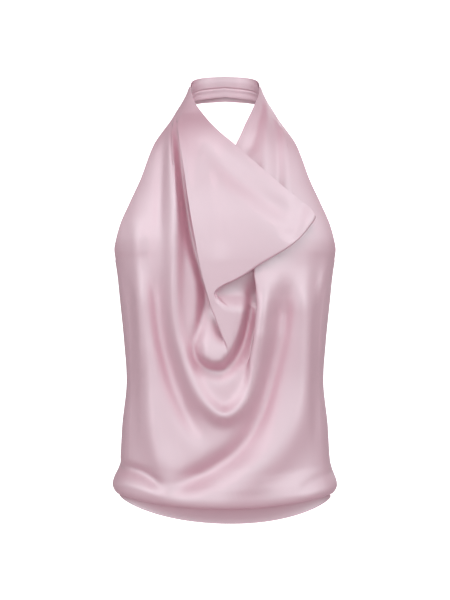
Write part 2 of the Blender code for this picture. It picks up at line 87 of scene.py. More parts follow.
def nearLine(x, z, line, share=0.22, longest=70.0):
    # distance to a line, which side of it, and how much of the fold is left near its ends
    best = np.full(x.shape, np.inf)
    side = np.zeros(x.shape)
    along = np.zeros(x.shape)
    lengths = np.hypot(*np.diff(line, axis=0).T)
    gone = np.concatenate(([0.0], np.cumsum(lengths)))
    for i, length in enumerate(lengths):
        dx, dz = line[i + 1] - line[i]
        t = np.clip(((x - line[i, 0]) * dx + (z - line[i, 1]) * dz) / max(tiny, length**2), 0, 1)
        ax = x - line[i, 0] - t * dx
        az = z - line[i, 1] - t * dz
        away = np.hypot(ax, az)
        nearer = away < best
        best = np.where(nearer, away, best)
        side = np.where(nearer, np.sign(dx * az - dz * ax), side)
        along = np.where(nearer, (gone[i] + t * length) / gone[-1], along)
    fromEnd = np.minimum(along, 1 - along) * gone[-1]
    return best, side, ease(fromEnd, 0, min(share * gone[-1], longest))


def shellFrom(name, grid, wall, closed=False):
    # a thin closed wall round a grid of mid-cloth points; a missing point is nan
    rows, columns = grid.shape[:2]
    here = ~np.isnan(grid[:, :, 0])
    index = np.full((rows, columns), -1)
    index[here] = np.arange(here.sum())
    points = grid[here]
    r, c = np.meshgrid(np.arange(rows - 1), np.arange(columns if closed else columns - 1), indexing="ij")
    d = (c + 1) % columns
    quads = np.stack((index[r, c], index[r + 1, c], index[r + 1, d], index[r, d]), axis=-1).reshape(-1, 4)
    quads = quads[(quads >= 0).all(axis=1)]
    face = np.cross(points[quads[:, 2]] - points[quads[:, 0]], points[quads[:, 3]] - points[quads[:, 1]])
    face /= np.maximum(tiny, np.linalg.norm(face, axis=1))[:, None]
    normals = np.zeros_like(points)
    for k in range(4):
        np.add.at(normals, quads[:, k], face)
    normals /= np.maximum(tiny, np.linalg.norm(normals, axis=1))[:, None]
    count = len(points)
    edges = np.concatenate([quads[:, [k, (k + 1) % 4]] for k in range(4)])
    keys = set(map(tuple, edges.tolist()))
    rim = [(a, b) for a, b in keys if (b, a) not in keys]
    rim = np.array([(b, a, a + count, b + count) for a, b in sorted(rim)])
    faces = np.concatenate((quads, quads[:, ::-1] + count, rim))
    places = np.concatenate((points + normals * wall / 2, points - normals * wall / 2))
    places[:, 1] += torsoDepth
    mesh = bpy.data.meshes.new(name)
    mesh.from_pydata((places * mm).tolist(), [], faces.tolist())
    mesh.update()
    mesh.shade_smooth()
    mesh.set_sharp_from_angle(angle=crispFrom)
    piece = bpy.data.objects.new(name, mesh)
    bpy.context.scene.collection.objects.link(piece)
    return piece


# Front: body, both straps and the cowl, cut in one

front = {
    # the body is an oval, a little squarer than an ellipse below a flatness of 1
    "wall": 0.7, "rowSpacing": 2.9, "flatness": 0.9, "seekSteps": 6, "leastCosine": 1e-4,
    # distances down the cloth: first row, last row, the tip of the cowl
    "start": 5.0, "end": 626.0, "tipRun": 202.0,
    # how far the hem dips at the middle, and between which distances down
    "hemDip": (15.0, 480.0, 608.0),
    # the relief calms down over these distances from the hem and from the side seam
    "calmHem": (10, 45), "calmSeam": 16,
    # the strap is gathered flat at the neck; these parts of its width are where the folds begin
    "settles": (36, 62), "leftBegins": 0.3, "rollBegins": 0.55, "knifeBegins": 0.35, "rightBegins": 0.68,
    "flatStep": 0.03, "seamMargin": 4,
    # the cloth swings out by this much, and by this share of the step, where it doubles back
    "swing": 2.0, "swingShare": 0.55, "lapSwing": 0.3, "wholeLap": 3, "stepSoft": 2.0, "turnSteps": 40,
    "rollCrisp": 0.3, "rollSoftens": (300, 370), "rollJoins": (332, 412), "pouchRise": (0.2, 0.62),
    "knifeCrisp": 0.5, "knifeEnding": 4.0, "knifeEnds": (400, 440),
    "knifeValley": -13.0, "valleyBegins": (284, 318), "valleyEnds": 418, "valleyFade": 52,
    "tuckRound": 2.4, "tuckSharper": 1.1, "tuckChanges": (350, 400),
    # columns across each stretch of one level
    "columns": {"side": 26, "pleat": 9, "panel": 24, "turn": 14, "flap": 32, "return": 26,
                "tuck": 14, "knife": 14, "rightPanel": 30, "rightPleat": 10, "rightSide": 15},
    # distance down the cloth, height, half width, side depth, front depth, seam x
    "sections": np.array([
        (5, -5, 54.0, 6.0, -37, 53.8),
        (16, -16, 58.3, 7.4, -42, 58.2),
        (30, -30, 66.0, 8.0, -50, 65.3),
        (38, -38, 71.5, 7.0, -55, 70.0),
        (57, -57, 85.5, 5.0, -68, 80.5),
        (73, -73, 100.0, 4.0, -78, 91.5),
        (93, -93, 117.5, 6.0, -88, 104.5),
        (110, -110, 127.0, 6.0, -95, 111.5),
        (144, -144, 141.0, 6.5, -106, 123.5),
        (180, -180, 157.0, 6.5, -114.2, 140.0),
        (214, -214, 170.0, 5.0, -117.8, 155.0),
        (233, -233, 172.0, 2.5, -118.6, 160.5),
        (250, -250, 169.0, 0.5, -118.8, 164.0),
        (262, -262, 165.0, -1.0, -118.5, 163.0),
        (290, -290, 160.5, -2.5, -117.2, 153.0),
        (324, -324, 157.0, -3.0, -115.0, 144.0),
        (384, -384, 151.0, -3.0, -111.0, 139.0),
        (444, -444, 147.0, -2.5, -109.0, 138.0),
        (510, -510, 153.5, -2.0, -109.6, 139.0),
        (564, -564, 157.0, -2.0, -112.5, 140.0),
        (575, -575, 160.5, -2.0, -115, 141.0),
        (588, -588, 165.5, -2.0, -119, 143.0),
        (600, -600, 167.5, -2.0, -121, 144.0),
        (608, -607.5, 165.0, -2.0, -119.5, 142.0),
        (613, -611, 161.0, -2.0, -116, 139.0),
        (618, -609, 157.5, -2.0, -112.5, 136.0),
        (626, -601, 156.0, -2.0, -111, 135.0),
    ]),
    # distance down the cloth, left x, right x of the neck edge
    "neckEdges": np.array([
        (5, -52.0, 52.0), (16, -49.8, 50.6), (33, -43.6, 44.5), (47, -34.6, 38.5), (65, -21.3, 30.0),
        (83, -3.7, 22.5), (99, 15.3, 15.3), (119, 37.0, 11.0), (138, 59.0, 9.0), (157, 81.0, 8.0),
        (170, 97.0, 8.5), (180, 110.0, 9.5), (189, 122.0, 11.0), (202, 132.0, 13.0),
    ]),
    # distance down, x of: left pleat, roll edge, flap fold, hidden fold, knife fold, right pleat
    "foldLines": np.array([
        (52, -77.0, -72.0, 40.0, 20.0, 45.0, 76.6),
        (73, -78.2, -69.3, 60.0, 20.0, 45.0, 86.8),
        (100, -77.5, -65.2, 80.0, 14.0, 40.0, 92.8),
        (134, -75.1, -59.8, 110.0, 12.0, 34.0, 96.6),
        (164, -73.3, -55.8, 120.0, 12.0, 31.0, 98.8),
        (202, -72.3, -50.0, 132.0, 13.0, 31.0, 105.8),
        (219, -72.6, -47.0, 121.8, 13.2, 31.5, 110.0),
        (233, -72.9, -44.3, 109.7, 12.0, 32.0, 113.5),
        (249, -73.6, -41.4, 90.4, 10.2, 33.8, 115.5),
        (262, -74.6, -39.0, 68.4, 7.0, 36.3, 116.9),
        (275, -75.4, -36.3, 46.7, 2.5, 39.0, 117.2),
        (287, -75.7, -33.6, 29.4, -2.5, 41.3, 117.6),
        (295, -75.7, -31.6, 15.1, -7.0, 42.5, 118.0),
        (302, -75.7, -29.8, -0.7, -10.2, 43.4, 118.3),
        (308, -75.7, -28.4, -10.8, -13.0, 43.8, 118.5),
        (315, -75.7, -26.4, -14.6, -13.4, 44.2, 118.6),
        (325, -75.6, -23.8, -11.0, -7.0, 44.5, 118.7),
        (334, -75.0, -21.2, -3.0, 2.5, 44.4, 118.7),
        (342, -74.4, -18.0, 4.0, 9.0, 43.2, 118.8),
        (356, -72.6, -12.6, 7.0, 12.5, 42.2, 118.9),
        (381, -68.4, -2.2, 9.0, 15.0, 39.8, 119.0),
        (398, -63.5, 3.6, 11.0, 16.0, 37.2, 118.6),
        (417, -60.0, 2.2, 11.0, 17.0, 33.5, 118.0),
        (440, -57.0, -8.0, 12.0, 24.0, 33.0, 115.0),
        (480, -60.0, -24.0, 2.0, 28.0, 44.0, 110.0),
        (550, -62.0, -30.0, -4.0, 26.0, 50.0, 102.0),
        (626, -62.0, -30.0, -4.0, 26.0, 50.0, 98.0),
    ]),
    # distance down, height off the body of: left pleat, flap, knife fold, right pleat, tuck under the flap
    "layerHeights": np.array([
        (5, 0, 0, 0, 0, 0), (46, 0, 0, 0, 0, 0), (56, 2, 4, 0, 2, 0), (64, 4, 8, 0, 3.5, 0),
        (76, 5.3, 11, 0, 5, 0), (95, 5.8, 13, 0, 6, 0), (118, 4.8, 15, 0, 6, 0), (140, 3, 16, 0, 6, 0),
        (180, 1, 18, 0, 5, 0), (205, 0, 19, 0, 2.5, 0), (225, 0, 19, 0, 0, 0), (245, 0, 19, 1, 0, 0),
        (262, 0, 19, 3, 0, 0),
        (275, 0, 18.5, 6, 0, 0), (288, 0, 18, 9, 0, 0), (300, 0, 17.5, 11, 0, 0),
        (315, 0, 17, 12, 0, 3), (325, 0, 16.5, 13, 0, 9), (334, 0, 16, 13, 0, 14),
        (342, 0, 16, 13, 0, 16), (372, 0, 16, 13, 0, 16), (388, 0, 16, 10.8, 0, 16), (402, 0, 16, 8.2, 0, 16),
        (416, 0, 16, 5.7, 0, 16), (432, 0, 16, 3.4, 0, 16), (442, 0, 14, 2.3, 0, 14), (455, 0, 0, 1.3, 0, 0),
        (475, 0, 0, 0.4, 0, 0), (505, 0, 0, 0, 0, 0), (626, 0, 0, 0, 0, 0),
    ]),
    # distance down, lap over the layer below of: left pleat, roll, knife fold, right pleat
    "laps": np.array([
        (5, 0, 0, 0, 0), (58, 0, 0, 0, 0), (66, 1.5, 2, 0, 1), (76, 3, 4, 0, 2.5), (97, 4, 6, 0, 4.5),
        (118, 3, 8, 0, 5), (140, 0, 10, 0, 5.5), (168, 0, 12, 0, 4.5), (184, 0, 12, 0, 2), (196, 0, 13, 0, 0),
        (245, 0, 13, 0, 0), (277, 0, 12, 0, 0), (290, 0, 10, 4, 0), (302, 0, 8, 8, 0),
        (315, 0, 6, 9, 0), (330, 0, 6, 10, 0), (350, 0, 6, 10, 0), (366, 0, 5, 9, 0),
        (380, 0, 2, 6.5, 0), (390, 0, 0, 4.5, 0), (404, 0, 0, 2.2, 0), (418, 0, 0, 0.6, 0), (432, 0, 0, 0, 0),
        (626, 0, 0, 0, 0),
    ]),
    # x, height where the hanging nose of the cowl is half fallen back to the body
    "nose": np.array([
        (-60, -388), (-46, -397), (-38, -405), (-28, -414), (-16, -419), (-5, -417), (2, -410),
        (10, -401), (17.5, -387), (24, -370), (29.5, -350), (35, -330), (42, -310), (61, -290),
    ]),
    "noseFall": 15.0,
}

# Soft ridges and troughs: layer, height, widths to the left and right of a line that runs down, x and z
# along it. The light and dark streaks of the satin come from them, so they are placed one by one. Those with
# Hem in their names run on round the side seam.
frontFolds = {
    "roundTheCowl": ("all", 13.0, 13.0, 11.0, [
        (-76, -25), (-76, -60), (-75, -100), (-74, -150), (-73, -200), (-74, -240), (-74, -281),
        (-73, -338), (-67, -382), (-55, -422), (-40, -456), (-22, -479), (-3, -490), (15, -484),
        (31, -464), (42, -432), (49, -396), (54, -350), (57, -315), (58, -280)]),
    "toTheRightHip": ("all", 12.0, 24.0, 26.0, [
        (112, -270), (118, -310), (121, -350), (121, -404), (118, -448), (109, -487), (92, -523),
        (70, -551), (44, -572), (15, -588), (-18, -597)]),
    "toTheLeftHip": ("all", 10.0, 19.0, 21.0, [
        (-112, -260), (-113, -320), (-112, -380), (-110, -440), (-106, -500), (-97, -545),
        (-80, -585), (-60, -615)]),
    "troughRightOfRoll": ("all", -14.0, 15.0, 15.0, [
        (90, -280), (84, -331), (79, -375), (70, -418), (61, -457), (51, -490),
        (34, -523), (14, -547), (-9, -563), (-36, -579), (-66, -592), (-98, -601)]),
    "troughLeftOfRoll": ("all", -10.0, 13.0, 13.0, [
        (-104, -260), (-100, -320), (-94, -370), (-84, -410), (-73, -446), (-60, -480),
        (-44, -512), (-21, -540)]),
    "besideTheRoll": ("left", -11.0, 8.0, 10.0, [
        (-80, -20), (-75, -60), (-70, -100), (-65, -140), (-58, -180), (-51, -220), (-44, -252), (-35, -284),
        (-29, -316), (-33, -350), (-42, -385), (-50, -425)]),
    "underTheRoll": ("left", -6.0, 10.0, 10.0, [
        (-31, -295), (-25, -320), (-18, -342), (-9, -362), (0, -378), (7, -390)]),
    "hollowUnderNose": ("all", -8.0, 9.0, 11.0, [
        (42, -290), (38, -325), (34, -350), (28, -376), (19, -402), (7, -420), (-7, -428), (-24, -424),
        (-39, -411), (-50, -392)]),
    "hollowLeftHem": ("all", -6.0, 9.0, 9.0, [
        (-215, -572), (-185, -572), (-158, -573), (-139, -574), (-119, -579), (-101, -589), (-80, -600)]),
    "lipLeftHem": ("all", 2.0, 6.0, 6.0, [
        (-215, -597), (-185, -597), (-162, -597), (-142, -596), (-119, -600), (-98, -606), (-80, -612)]),
    "hollowRightHem": ("all", -3.0, 9.0, 9.0, [
        (215, -580), (185, -580), (158, -582), (139, -588), (119, -597), (100, -606)]),
    "strapDark": ("right", -6.0, 9.0, 9.0, [
        (62, 8), (58, -25), (54, -50), (49, -66), (45, -82), (39, -99), (30, -125)]),
    "strapBright": ("right", 4.0, 8.0, 8.0, [
        (68, -5), (63, -40), (59, -70), (58, -105), (57, -140), (54, -190)]),
    "strapMid": ("right", -5.0, 8.0, 8.0, [
        (74, -15), (75, -50), (77, -96), (78, -119), (78, -146), (76, -200)]),
    "leftStrapDark": ("left", -3.0, 9.0, 6.0, [
        (-82, -40), (-87, -88), (-90, -120), (-93, -170), (-96, -240)]),
    "acrossTheFlap": ("flap", -5.5, 17.0, 15.0, [
        (-40, -80), (-24, -107), (-4, -129), (22, -151), (54, -175), (84, -200), (100, -225)]),
    "downTheFlap": ("flap", -3.0, 12.0, 12.0, [(-34, -110), (-22, -160), (-12, -220), (-6, -270)]),
    "cowlCorner": ("flap", -4.0, 14.0, 9.0, [(116, -170), (108, -205), (94, -245)]),
    "leftSide": ("left", 4.0, 12.0, 12.0, [
        (-131, -180), (-127, -280), (-128, -324), (-133, -383), (-138, -450)]),
    "rightSide": ("right", -4.0, 12.0, 9.0, [
        (136, -240), (133, -324), (131, -397), (132, -471), (137, -540)]),
}


def layerShares():
    # how much each column belongs to the left, the flap and the right of the front
    n = front["columns"]
    left = [1.0] * (1 + n["side"] + n["pleat"] + n["panel"]) + list(np.linspace(1, 0, n["turn"] + 1)[1:])
    left += [0.0] * (n["flap"] + n["return"] + n["tuck"] + n["knife"] + n["rightPanel"] + n["rightPleat"]
                     + n["rightSide"])
    right = [0.0] * (1 + n["side"] + n["pleat"] + n["panel"] + n["turn"] + n["flap"])
    right += list(np.linspace(0, 1, n["return"] + 1)[1:])
    right += [1.0] * (n["tuck"] + n["knife"] + n["rightPanel"] + n["rightPleat"] + n["rightSide"])
    left, right = np.array(left), np.array(right)
    pouch = np.zeros(left.shape)
    pouch[1 + n["side"] + n["pleat"]:-(n["knife"] + n["rightPanel"] + n["rightPleat"] + n["rightSide"])] = 1
    return {"all": np.ones(left.shape), "left": left, "flap": 1 - left - right, "right": right,
            "pouch": pouch}


def sectionAt(run):
    return [readTable(front["sections"], k, run) for k in range(1, 6)]


def normalAt(halfWidth, side, depth, angle):
    cos = np.maximum(front["leastCosine"], np.cos(angle))
    across = halfWidth * cos
    along = (side - depth) * front["flatness"] * cos ** (front["flatness"] - 1) * np.sin(angle)
    size = np.hypot(across, along)
    return along / size, -across / size


def depthRound(cos, side, ahead, behind):
    # depth of the body round its oval, from the front depth to the back one
    return side + (np.where(cos > 0, ahead, behind) - side) * np.abs(cos) ** front["flatness"]


def calmHem(run):
    return ease(front["end"] - run, *front["calmHem"])


def foldRelief(fold, x, z):
    height, left, right, line = fold[1:]
    away, side, fade = nearLine(x, z, smoothLine(line))
    width = np.where(side > 0, right, left)
    return height * fade * np.exp(-(away / width) ** 2)


def hemRelief(x, z):
    # the soft hollows and lips over the roll run on past the side seams
    relief = np.zeros(x.shape)
    for name, fold in frontFolds.items():
        if name.endswith("Hem"):
            relief += foldRelief(fold, x, z)
    return relief


def softRelief(x, z):
    relief = np.zeros(x.shape)
    shares = layerShares()
    for name, fold in frontFolds.items():
        if not name.endswith("Hem"):
            relief += foldRelief(fold, x, z) * shares[fold[0]][None, :]
    return relief


def angleOf(x, halfWidth):
    return math.asin(max(-almostOne, min(almostOne, x / halfWidth)))


def between(a, b, part, halfWidth):
    p, q = angleOf(a, halfWidth), angleOf(b, halfWidth)
    return halfWidth * math.sin(p + (q - p) * part)


def panel(start, end, count, halfWidth):
    # flat cloth between two folds, spaced evenly round the section
    t = np.arange(1, count + 1) / count
    p, q = angleOf(start[0], halfWidth), angleOf(end[0], halfWidth)
    x = halfWidth * np.sin(p + (q - p) * t)
    x[-1] = end[0]
    return np.stack((x, start[1] + (end[1] - start[1]) * ease(t, 0, 1)), axis=1)


def fallingPanel(start, end, count, halfWidth, roundness):
    # cloth that rounds over and drops away towards the fold it ends under
    out = panel(start, end, count, halfWidth)
    t = np.arange(1, count + 1) / count
    out[:, 1] = end[1] + (start[1] - end[1]) * (1 - t ** roundness)
    return out


def swingOf(step):
    return front["swing"] + front["swingShare"] * step


def evenly(x, off, count, longest=np.inf):
    step = np.minimum(longest, np.hypot(np.diff(x), np.diff(off)))
    gone = np.concatenate(([0.0], np.cumsum(step)))
    at = gone[-1] * np.arange(1, count + 1) / count
    return np.stack((np.interp(at, gone, x), np.interp(at, gone, off)), axis=1)


def turn(start, end, count, crisp=1.0):
    # the cloth doubles back and on again; with no lap it is a plain step
    t = np.linspace(0, 1, front["turnSteps"])
    if end[0] < start[0]:
        reach = swingOf(abs(end[1] - start[1]))
        w = ((1 - t)**3, 3 * t * (1 - t)**2, 3 * t * t * (1 - t), t**3)
        x = w[0] * start[0] + w[1] * (start[0] + reach) + w[2] * (end[0] - reach * crisp) + w[3] * end[0]
        off = (w[0] + w[1]) * start[1] + (w[2] + w[3]) * end[1]
    else:
        x = start[0] + (end[0] - start[0]) * t
        off = start[1] + (end[1] - start[1]) * ease(t, 0, 1)
    return evenly(x, off, count)


def lapped(lineX, lap, low, high, rising, crisp=1.0, widest=front["stepSoft"]):
    # both ends of a fold over its line; where the lap runs out it opens to a soft step
    some = float(ease(lap, 0, front["wholeLap"]))
    reach = front["lapSwing"] * swingOf(abs(high - low)) * some * crisp
    soft = widest * (1 - some)
    if rising:
        return (lineX + lap - soft, low), (lineX + reach + soft, high)
    return (lineX - reach - soft, high), (lineX - lap + soft, low)


def flatStep(a, b, lineX, first, second, halfWidth):
    p, q = angleOf(a, halfWidth), angleOf(b, halfWidth)
    part = (angleOf(lineX, halfWidth) - p) / (q - p)
    near = front["flatStep"]
    return (between(a, b, part - near, halfWidth), first), (between(a, b, part + near, halfWidth), second)


# how tightly the flap turns, how far its two turns slide apart where it opens into the curl, and the
# longest step that still counts when its columns are spaced
flapCurl = {"returnLevel": 0.6, "tightStep": 0.2, "tightLap": 0.3, "steps": 16, "longestStep": 9.0,
            "give": 1.5, "giveFrom": (-6, 2), "open": 5.0, "openOver": 8}


def flapTurn(flapX, hiddenX, height, tuck):
    # the flap doubles back at flapX, returns beneath itself, and turns on at hiddenX
    middle = tuck + (height - tuck) * flapCurl["returnLevel"]
    lap = flapX - hiddenX
    tight = min((height - tuck) * flapCurl["tightStep"], max(0.0, lap * flapCurl["tightLap"]))
    apart = max(0.0, -lap)
    give = flapCurl["give"] * float(ease(-lap, *flapCurl["giveFrom"]))
    give += flapCurl["open"] * float(ease(apart, 0, flapCurl["openOver"]))
    t = np.linspace(0, 1, flapCurl["steps"])
    swing = (1 - np.cos(np.pi * t)) / 2
    x = np.concatenate((flapX - tight - give + (give + apart / 2) * t + tight * np.sin(np.pi * t),
                        hiddenX + tight - apart / 2 + (give + apart / 2) * t - tight * np.sin(np.pi * t)))
    off = np.concatenate((height + (middle - height) * swing, middle + (tuck - middle) * swing))
    return x, off


def clothRow(run):
    # one level of the front, from the left seam to the right one, as x and height off the body
    n = front["columns"]
    halfWidth, seamX = float(sectionAt(run)[1]), float(sectionAt(run)[4])
    lines = [float(readTable(front["foldLines"], k, run)) for k in range(1, 7)]
    heights = [float(readTable(front["layerHeights"], k, run)) for k in range(1, 6)]
    laps = [float(readTable(front["laps"], k, run)) for k in range(1, 5)]
    aboveTip = run < front["tipRun"]
    neckLeft = float(readTable(front["neckEdges"], 1, run)) if aboveTip else lines[2]
    neckRight = float(readTable(front["neckEdges"], 2, run)) if aboveTip else lines[3]
    settled = float(ease(run, *front["settles"]))
    margin = front["seamMargin"]
    left = (between(-seamX, neckLeft, front["leftBegins"], halfWidth) * (1 - settled)
            + max(lines[0], -seamX + margin) * settled)
    roll = between(-seamX, neckLeft, front["rollBegins"], halfWidth) * (1 - settled) + lines[1] * settled
    knife = between(neckRight, seamX, front["knifeBegins"], halfWidth) * (1 - settled) + lines[4] * settled
    right = (between(neckRight, seamX, front["rightBegins"], halfWidth) * (1 - settled)
             + min(lines[5], seamX - margin) * settled)
    crisp = front["rollCrisp"] + (1 - front["rollCrisp"]) * float(ease(run, *front["rollSoftens"]))
    if settled < 1:
        leftLow, leftHigh = flatStep(-seamX, neckLeft, left, 0.0, heights[0], halfWidth)
        rollLow, rollHigh = flatStep(-seamX, neckLeft, roll, heights[0], heights[1], halfWidth)
        knifeLow, knifeHigh = flatStep(neckRight, seamX, knife, 0.0, heights[2], halfWidth)
        rightHigh, rightLow = flatStep(neckRight, seamX, right, heights[3], 0.0, halfWidth)
    else:
        leftLow, leftHigh = lapped(left, laps[0], 0.0, heights[0], True)
        joined = heights[0] + (heights[1] - heights[0]) * float(ease(run, *front["rollJoins"]))
        rollLow, rollHigh = lapped(roll, laps[1], joined, heights[1], True, crisp)
        deep = front["knifeValley"] * float(ease(run, *front["valleyBegins"])
                                            * ease(front["valleyEnds"] - run, 0, front["valleyFade"]))
        ending = front["stepSoft"] + front["knifeEnding"] * float(ease(run, *front["knifeEnds"]))
        knifeLow, knifeHigh = lapped(knife, laps[2], deep, heights[2], True, front["knifeCrisp"], ending)
        rightHigh, rightLow = lapped(right, laps[3], 0.0, heights[3], False)
    parts = [np.array([(-seamX, 0.0)])]
    parts.append(panel((-seamX, 0.0), leftLow, n["side"], halfWidth))
    parts.append(turn(leftLow, leftHigh, n["pleat"]))
    pouch = panel(leftHigh, rollLow, n["panel"], halfWidth)
    rise = ease(np.arange(1, n["panel"] + 1) / n["panel"], *front["pouchRise"])
    pouch[:, 1] = leftHigh[1] + (rollLow[1] - leftHigh[1]) * rise
    parts.append(pouch)
    parts.append(turn(rollLow, rollHigh, n["turn"], crisp))
    if aboveTip:
        parts.append(panel(rollHigh, (neckLeft, heights[1]), n["flap"], halfWidth))
        parts.append(np.full((n["return"] - 1, 2), np.nan))
        parts.append(np.array([(neckRight, 0.0)]))
        last = (neckRight, 0.0)
    else:
        x, off = flapTurn(lines[2], lines[3], heights[1], heights[4])
        parts.append(panel(rollHigh, (x[0], off[0]), n["flap"], halfWidth))
        parts.append(evenly(x, off, n["return"], flapCurl["longestStep"]))
        last = (x[-1], off[-1])
    roundness = front["tuckRound"] - front["tuckSharper"] * float(ease(run, *front["tuckChanges"]))
    parts.append(fallingPanel(last, knifeLow, n["tuck"], halfWidth, roundness))
    parts.append(turn(knifeLow, knifeHigh, n["knife"], front["knifeCrisp"]))
    parts.append(panel(knifeHigh, rightHigh, n["rightPanel"], halfWidth))
    parts.append(turn(rightHigh, rightLow, n["rightPleat"]))
    parts.append(panel(rightLow, (seamX, 0.0), n["rightSide"], halfWidth))
    return np.concatenate(parts)


def placeFront(run, x, off):
    # from x and height off the body to a point in space; run, x and off are grids
    height, halfWidth, side, depth, seamX = sectionAt(run)
    dip, dipFrom, dipTo = front["hemDip"]
    bare = np.where(np.isnan(x), 0.0, x)
    angle = np.arcsin(np.clip(bare / halfWidth, -almostOne, almostOne))
    z = height - dip * ease(run, dipFrom, dipTo) * np.cos(angle) ** 2
    calm = calmHem(run) * ease(seamX - np.abs(bare), 0, front["calmSeam"])
    nose = readTable(front["nose"], 1, bare)
    steep = readTable(front["nose"], 1, bare + 1) - nose
    half = front["noseFall"] / 2 * np.hypot(1, steep)
    fallen = ease((nose - z) / half, -1, 1) * layerShares()["pouch"]
    off = np.where(np.isnan(off), 0.0, off)
    off = np.where(off > 0, off * (1 - fallen), off) + softRelief(bare, z) * calm
    # the angle is sought from which the cloth, lifted off the body, comes out at x
    for again in range(front["seekSteps"]):
        nx, ny = normalAt(halfWidth, side, depth, angle)
        angle = np.arcsin(np.clip((bare - off * nx) / halfWidth, -almostOne, almostOne))
    nx, ny = normalAt(halfWidth, side, depth, angle)
    y = depthRound(np.cos(angle), side, depth, depth)
    off = off + hemRelief(bare, z) * calmHem(run)
    out = np.stack((halfWidth * np.sin(angle) + off * nx, y + off * ny, z), axis=-1)
    out[np.isnan(x)] = np.nan
    return out


def frontRuns():
    # one row falls on the tip of the cowl, where the neck edge ends and the fold begins
    above = np.arange(front["start"], front["tipRun"] - 1, front["rowSpacing"])
    below = np.arange(front["tipRun"], front["end"] + 0.1, front["rowSpacing"])
    return np.concatenate((above, below))


runs = frontRuns()
rows = np.array([clothRow(run) for run in runs])
spots = placeFront(runs[:, None] * np.ones(rows.shape[1]), rows[:, :, 0], rows[:, :, 1])
frontPiece = shellFrom("drapedFront", spots, front["wall"])
print("front draped", len(frontPiece.data.polygons))


# Back: a low panel from side seam to side seam

back = {
    "wall": 0.7, "columns": 150, "rowSpacing": 3.2, "underarm": 262.0, "scoop": 172.0, "settles": 560.0,
    # the side edge is turned in under the front by this much, and lies this far behind it
    "seamTurn": 2.5, "seamBehind": 0.85, "seamRamp": 1.5,
    # columns crowd together at the seams, and the scoop is a little squarer than a plain wave
    "crowding": 0.11, "scoopShape": 1.25,
    # where the folds calm down: near the seams and below the scoop edge, and where the front's relief ends
    "calmSeam": 0.06, "calmScoop": (-5, 25), "scoopShare": 0.98, "frontReliefEnds": (-0.15, 0.2),
    # the way round the back counts in thousandths of its turn when a fold's width is measured
    "foldEnds": 0.3, "thousandths": 1000,
    # distance down, depth at centre back
    "depths": np.array([
        (250, 84), (262, 84), (324, 81), (384, 79), (444, 80), (510, 86), (564, 91), (575, 95),
        (588, 100), (600, 102), (608, 100.5), (613, 97), (618, 93.5), (626, 92)]),
    # height, width each side, turn round the back (0 to 1) and distance down
    "folds": [
        (4.0, 0.030, [(0.18, 300), (0.20, 380), (0.22, 470), (0.24, 560)]),
        (-3.5, 0.026, [(0.27, 380), (0.28, 450), (0.30, 540)]),
        (4.5, 0.034, [(0.40, 470), (0.38, 520), (0.37, 580)]),
        (-3.0, 0.028, [(0.52, 450), (0.50, 520), (0.49, 580)]),
        (4.0, 0.032, [(0.62, 460), (0.63, 520), (0.66, 585)]),
        (-3.5, 0.026, [(0.74, 370), (0.72, 450), (0.71, 545)]),
        (4.0, 0.030, [(0.82, 300), (0.80, 390), (0.77, 480), (0.76, 570)]),
    ],
}


def backGrid():
    runs = np.arange(back["underarm"], front["end"] + 0.1, back["rowSpacing"])[:, None]
    part = np.linspace(0, 1, back["columns"] + 1)[None, :]
    part = part - back["crowding"] * np.sin(2 * wholeTurn * part) / wholeTurn
    scoop = back["scoop"] * (1 + np.cos(np.pi * np.abs(2 * part - 1) ** back["scoopShape"])) / 2
    here = runs + scoop * (1 - ease(runs, back["underarm"], back["settles"]))
    height, halfWidth, side, depth, seamX = sectionAt(here)
    behind = readTable(back["depths"], 1, here)
    start = np.arcsin((seamX - back["seamTurn"]) / halfWidth)
    angle = start + (wholeTurn - 2 * start) * part
    cos = np.cos(angle)
    y = depthRound(cos, side, depth, behind)
    x = halfWidth * np.sin(angle)
    dip, dipFrom, dipTo = front["hemDip"]
    z = height - dip * ease(here, dipFrom, dipTo) * cos ** 2
    relief = np.zeros(here.shape)
    many = back["thousandths"]
    across = many * part * np.ones(here.shape)
    for fold, width, line in back["folds"]:
        curve = smoothLine([(many * place, run) for place, run in line])
        away, edge, fade = nearLine(across, here, curve, back["foldEnds"], np.inf)
        relief += fold * fade * np.exp(-(away / (many * width)) ** 2)
    relief *= calmHem(here) * ease(np.minimum(part, 1 - part), 0, back["calmSeam"])
    relief *= ease(here - runs[0] - scoop * back["scoopShare"], *back["calmScoop"])
    relief += hemRelief(x, z) * calmHem(here) * ease(cos, *back["frontReliefEnds"])
    nx, ny = normalAt(halfWidth, side, depth, np.arcsin(np.clip(x / halfWidth, -almostOne, almostOne)))
    ny = np.where(cos < 0, -ny, ny)
    under = np.minimum(halfWidth * (angle - start), halfWidth * (wholeTurn - start - angle))
    relief -= back["seamBehind"] * (1 - ease(under, back["seamTurn"], back["seamTurn"] + back["seamRamp"]))
    return np.stack((x + relief * nx, y + relief * ny, z), axis=-1)


backPiece = shellFrom("lowBack", backGrid(), back["wall"])
print("back draped")


# Hem band: the narrow strip that the blouson roll hangs over

hemBand = {"wall": 0.7, "columns": 320, "rows": 14, "halfWidth": 153.6, "front": -108.7, "back": 89.6,
           "sideDepth": -2.0, "top": -597.0, "sideBottom": -614.1, "dip": 34.0, "dipCurve": 1.6,
           "rightSag": 3.0, "sagAcross": (-0.3, 0.8), "sideFlare": 4.6, "leanIn": 9.0, "leanFrom": 0.1}


